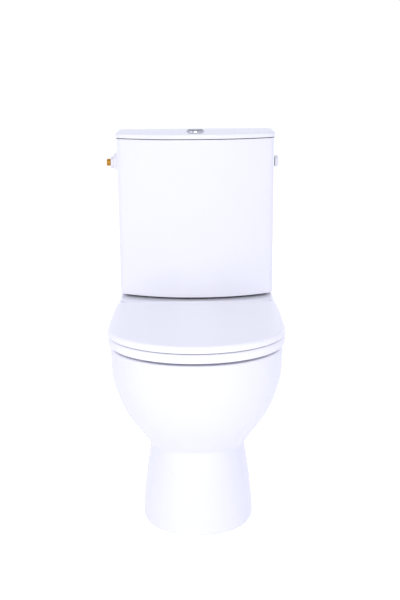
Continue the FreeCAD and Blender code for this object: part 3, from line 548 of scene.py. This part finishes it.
lid_foot, lid_top, brim = 788.2, 799.4, -2  # the lid's edge stands 2 mm outside the cistern
lid_rings = [hole_ring(789, 20), hole_ring(798.2, 20), hole_ring(799.1, 20.3), hole_ring(lid_top, 21.2),
             hole_ring(lid_top, 26), tank_outline(lid_top, inset=9), tank_outline(lid_top, inset=4.4)]
lid_rings += [tank_outline(794.6 + along, inset=brim + inwards)
              for inwards, along in reversed(quarter(4.8, 6))]
lid_rings += [tank_outline(793.6, inset=brim), tank_outline(790.6, inset=brim)]
lid_rings += [tank_outline(789.2 - along, inset=brim + inwards) for inwards, along in quarter(1, 4)]
lid_rings += [tank_outline(z, inset=inset) for z, inset in (
    (lid_foot, 3), (lid_foot, 8.5), (787.1, 8.5), (787.1, 11.5), (777, 11.5), (776, 12.5), (776, 18.5),
    (777, 19.5), (lid_foot, 19.5), (lid_foot, 26))]
lid_rings += [hole_ring(lid_foot, 26), hole_ring(lid_foot, 20.6)]
bm = bmesh.new()
ring_skin(bm, lid_rings, join=True)
lid = finished("china_lid", mesh_of("china_lid", bm, 40), "lid", "vitreous_china", "cistern_lid")
# The lid's underside is bisque darkened as painted shade for the line between lid and cistern.
bisque_and_painted_shade_faces(lid, 770.0, 788.5)
print("lid faces", len(lid.data.polygons))

# %% [markdown]
# The seat and its cover share one outline, a D with a straight back and an oval front. The sides swell
# slowly towards the middle and meet the oval there. Two back corners are rounded to 16 mm.

# %% Seat outline
SEAT_BACK = 221.0  # the depth of the cover's straight back edge


def seat_outline(z, inset=0.0, back=SEAT_BACK):
    """The D outline at a height, as a ring."""
    centre, half, back_half = 460.0, 181.5 - inset, 176.5 - inset
    front = 644.5 - inset
    corner = max(16.0 - inset, 3.0)

    def swell(depth):
        t = min(max((depth - back) / (centre - back), 0.0), 1.0)
        return (half - back_half) * (1 - (1 - t) ** 2.1)

    right = [(0.0, front)]
    for k in range(1, 23):
        a = math.pi / 2 * (1 - k / 22)
        right.append((half * math.cos(a), centre + (front - centre) * math.sin(a)))
    for k in range(1, 11):
        depth = centre + (back + corner - centre) * k / 10
        right.append((back_half + swell(depth), depth))
    for inwards, along in quarter(corner, 6)[1:]:
        depth = back + corner - along
        right.append((back_half + swell(depth) - inwards, depth))
    for k in range(1, 9):
        right.append(((back_half - corner) * (1 - k / 8), back))
    return mirrored(right, z)


def opening_ring(outer, z, grow=0.0):
    """The oval opening's ring, with its corners in the same directions as the outer ring's."""
    wide, long, depth, power = (112.0 + grow) * MM, (135.0 + grow) * MM, 453.0, 2.15
    centre = Vector((0, (WALL - depth) * MM, z * MM))
    ring = []
    for corner in outer:
        aim = Vector((corner.x, corner.y - centre.y, 0)).normalized()
        reach = (abs(aim.x / wide) ** power + abs(aim.y / long) ** power) ** (-1 / power)
        ring.append(centre + aim * reach)
    return ring


print("corners in a seat ring:", len(seat_outline(418)))

# %% [markdown]
# The seat is a solid ring. Its top is crowned by a fraction of a millimetre, its upper edges are rounded to
# 6 mm and its lower ones to 4 mm. Two notches at the back leave room for the hinge posts, and an eye
# beside each post takes the pin.

# %% Seat
def seat_ring_at(z, inset):
    """The seat's outer ring, a little smaller than the cover's and 8 mm shorter at the back."""
    return seat_outline(z, 0.6 + inset, 229.0 + inset)


def hinge_eye(bm, x_near, x_far, reach_depth, z_low, z_high):
    """A round eye on the hinge line and the web that ties it to the seat."""
    side = 1 if x_far > x_near else -1
    wide = abs(x_far - x_near)
    profile = [(0.0, 3.4), (0.0, 6.4), (0.6, 7.0), (wide - 0.6, 7.0), (wide, 6.4), (wide, 3.4)]
    ring_skin(bm, [upright_circle(x_near + side * along, HINGE_DEPTH, HINGE_Z, r, 40)
                   for along, r in profile], join=True)
    depth0, depth1 = reach_depth
    web = box_between(bm, (min(x_near, x_far) + 0.3, WALL - depth1, z_low),
                      (max(x_near, x_far) - 0.3, WALL - depth0, z_high))
    edges = list({edge for corner in web for edge in corner.link_edges})
    bmesh.ops.bevel(bm, geom=edges, offset=0.8 * MM, segments=3, profile=0.5, affect="EDGES", material=-1)


outer_mid = seat_ring_at(418, 22)
seat_foot = 398.8
ring_rows = [seat_ring_at(seat_foot, 6), seat_ring_at(seat_foot, 4)]
ring_rows += [seat_ring_at(seat_foot + 4 - along, inwards) for inwards, along in reversed(quarter(4, 4))][1:]
ring_rows += [seat_ring_at(404, 0), seat_ring_at(410.4, 0)]
ring_rows += [seat_ring_at(411.4 + along, inwards) for inwards, along in quarter(6, 6)]
ring_rows += [seat_ring_at(417.55, 9), outer_mid]
ring_rows += [opening_ring(outer_mid, 417.9, 20), opening_ring(outer_mid, 417.5, 9)]
ring_rows += [opening_ring(outer_mid, 411.4 + along, inwards) for inwards, along in reversed(quarter(6, 6))]
ring_rows += [opening_ring(outer_mid, 410, 0), opening_ring(outer_mid, 404, 0)]
ring_rows += [opening_ring(outer_mid, seat_foot + 4 - along, inwards) for inwards, along in quarter(4, 4)]
ring_rows += [opening_ring(outer_mid, seat_foot, 6)]
bm = bmesh.new()
ring_skin(bm, ring_rows, join=True)
seat_mesh = mesh_of("seat", bm)
bm = bmesh.new()
for side in (-1, 1):
    box_between(bm, (side * POST_X - 21, WALL - 254, 390), (side * POST_X + 21, WALL - 205, 425))
notches = bpy.data.objects.new("notches", written("notches", bm))
bpy.context.scene.collection.objects.link(notches)
seat_mesh = with_modifiers(
    seat_mesh,
    ("BOOLEAN", {"operation": "DIFFERENCE", "solver": "EXACT", "object": notches}),
    ("BEVEL", {"width": 1.2 * MM, "segments": 3, "limit_method": "ANGLE", "angle_limit": math.radians(50)}))
bpy.data.objects.remove(notches)
bm = bmesh.new()
bm.from_mesh(seat_mesh)
for side in (-1, 1):
    hinge_eye(bm, side * (POST_X - 8.6), side * (POST_X - 18), (HINGE_DEPTH, 257), 404, 417.2)
seat = finished("duroplast_seat", mesh_of("duroplast_seat", bm), "seat", "duroplast_white", "seat_ring")
print("seat faces", len(seat.data.polygons))

# %% [markdown]
# The cover is a shallow dish turned upside down. Its top is flat with a 6.5 mm rounding, its wall is 5 mm
# thick, and the inside corner is rounded as well. Its own hinge eyes sit outside those of the seat.

# %% Seat cover
def cover_ring(z, inset):
    """The cover's ring at a height, moved inwards on all sides."""
    return seat_outline(z, inset, SEAT_BACK + inset)


cover_top, cover_inside = 433.4, 429.4
cover_rows = [cover_ring(cover_top, 60), cover_ring(cover_top, 9)]
cover_rows += [cover_ring(cover_top - 6.5 + along, inwards) for inwards, along in reversed(quarter(6.5, 7))]
cover_rows += [cover_ring(425.5, 0), cover_ring(421.2, 0)]
cover_rows += [cover_ring(420.4 - along, inwards) for inwards, along in quarter(1, 3)]
cover_rows += [cover_ring(z, inset) for z, inset in (
    (419.4, 4), (419.8, 4.7), (420.6, 5), (426, 5), (428.4, 5.8), (cover_inside, 8), (cover_inside, 60))]
bm = bmesh.new()
ring_skin(bm, cover_rows)
for side in (-1, 1):
    hinge_eye(bm, side * (POST_X + 8.6), side * (POST_X + 18), (226, 238), 411, 430)
cover = finished("duroplast_cover", mesh_of("duroplast_cover", bm), "cover", "duroplast_white", "seat_cover")
print("cover faces", len(cover.data.polygons))

# %% [markdown]
# The push button is a chromed collar around two half buttons. The collar is turned: its section is drawn
# once and spun about the button's axis. The buttons keep their plain outline, with rounded upper edges.

# %% Push button
def turned(name, section, centre, steps=96):
    """A ring made by spinning a closed (radius, height) section about an upright axis."""
    bm = bmesh.new()
    corners = [bm.verts.new(Vector((centre[0] + r, centre[1], z)) * MM) for r, z in section]
    edges = [bm.edges.new((a, b)) for a, b in zip(corners, corners[1:] + corners[:1])]
    bmesh.ops.spin(bm, geom=corners + edges, cent=Vector((centre[0], centre[1], 0)) * MM, axis=(0, 0, 1),
                   angle=2 * math.pi, steps=steps, use_merge=True)
    return mesh_of(name, bm, 50)


def softened(node, width, segments, degrees=35):
    """A copy of a plain piece with every sharp edge rounded."""
    bm = merged(node)
    bmesh.ops.dissolve_limit(bm, angle_limit=math.radians(1.0), verts=bm.verts, edges=bm.edges)
    return with_modifiers(
        smooth_by_angle(written(node + "_soft", bm), degrees),
        ("BEVEL", {"width": width * MM, "segments": segments, "limit_method": "ANGLE",
                   "angle_limit": math.radians(degrees)}),
        ("WEIGHTED_NORMAL", {"keep_sharp": True}))


collar = turned("button_collar", [(18.0, 799.5), (21.0, 799.5), (21.0, 800.9), (20.7, 801.6), (20.1, 802.15),
                                  (19.4, 802.4), (18.7, 802.3), (18.2, 801.9), (18.0, 801.3)],
                (0, WALL - BUTTON_DEPTH))
# The collar takes the pale chromed colour, a painted highlight; the buttons keep the dark one, a painted dark
# reflection.
finished("chromed_collar_painted_highlight", collar, "lid", "chromed_abs", "button_bezel").data.materials[0] = chrome_painted_highlight
for node in ("full_flush_button", "half_flush_button"):
    finished("chromed_" + node, softened(node, 1.0, 4), node.rsplit("_", 1)[0], "chromed_abs", node)
print("button pieces ready")

# %% [markdown]
# The water inlet is a brass tail with a fine thread. The thread is a true helix: the skin's rings lie close
# together along the tail, and each corner moves in or out with its angle as well as with its place.

# %% Threaded brass tail
def threaded(x, angle, pitch=1.6, deep=0.45):
    """The radius of the thread at a place along the tail and an angle round it."""
    turn = (x / pitch + angle / (2 * math.pi)) % 1.0
    return 8.35 - deep * (1 - abs(2 * turn - 1))


def tail_ring(x, radius):
    """A ring across the tail, which points to the left."""
    return upright_circle(-x, SIDE_DEPTH, SIDE_Z, radius)


tail_rings = [tail_ring(180, 5.0), tail_ring(202.4, 5.0), tail_ring(203.0, 5.5), tail_ring(203.0, 6.9)]
thread_top, thread_end, step = 202.4, 186.4, 0.2
for k in range(int((thread_top - thread_end) / step)):
    x = thread_top - k * step
    tail_rings.append(tail_ring(x, lambda a, x=x: threaded(x, a)))
tail_rings += [tail_ring(186.2, 8.0), tail_ring(164.6, 8.0), tail_ring(164.6, 12.6), tail_ring(164.2, 13.0),
               tail_ring(161.4, 13.0), tail_ring(161.0, 12.6), tail_ring(161.0, 5.0)]
bm = bmesh.new()
ring_skin(bm, tail_rings)
finished("brass_inlet_tail", mesh_of("brass_inlet_tail", bm, 60), "pan_and_cistern", "brass", "inlet_shank")
print("rings along the thread", len(tail_rings))

# %% [markdown]
# The small fittings keep their plain shapes. Moulded plastic and pressed metal still have no knife edges,
# so every sharp edge is rounded by a few tenths of a millimetre.

# %% Small fittings
REBUILT = {"pan", "cistern_tank", "cistern_lid", "seat_ring", "seat_cover", "button_bezel",
           "full_flush_button", "half_flush_button", "inlet_shank"}
rows = {row["node"]: row["material_slot"] for row in frame["record"]["subparts"]}
body_names = {empty: name for name, empty in frame["bodies"].items()}
for node, finish in rows.items():
    if node in REBUILT:
        continue
    width = 0.25 if finish in ("stainless", "brass", "black_rubber") else 0.5
    body = body_names[frame["nodes"][node].parent]
    finished("soft_" + node, softened(node, width, 2), body, finish, node)
print("fittings rounded:", len(rows) - len(REBUILT))
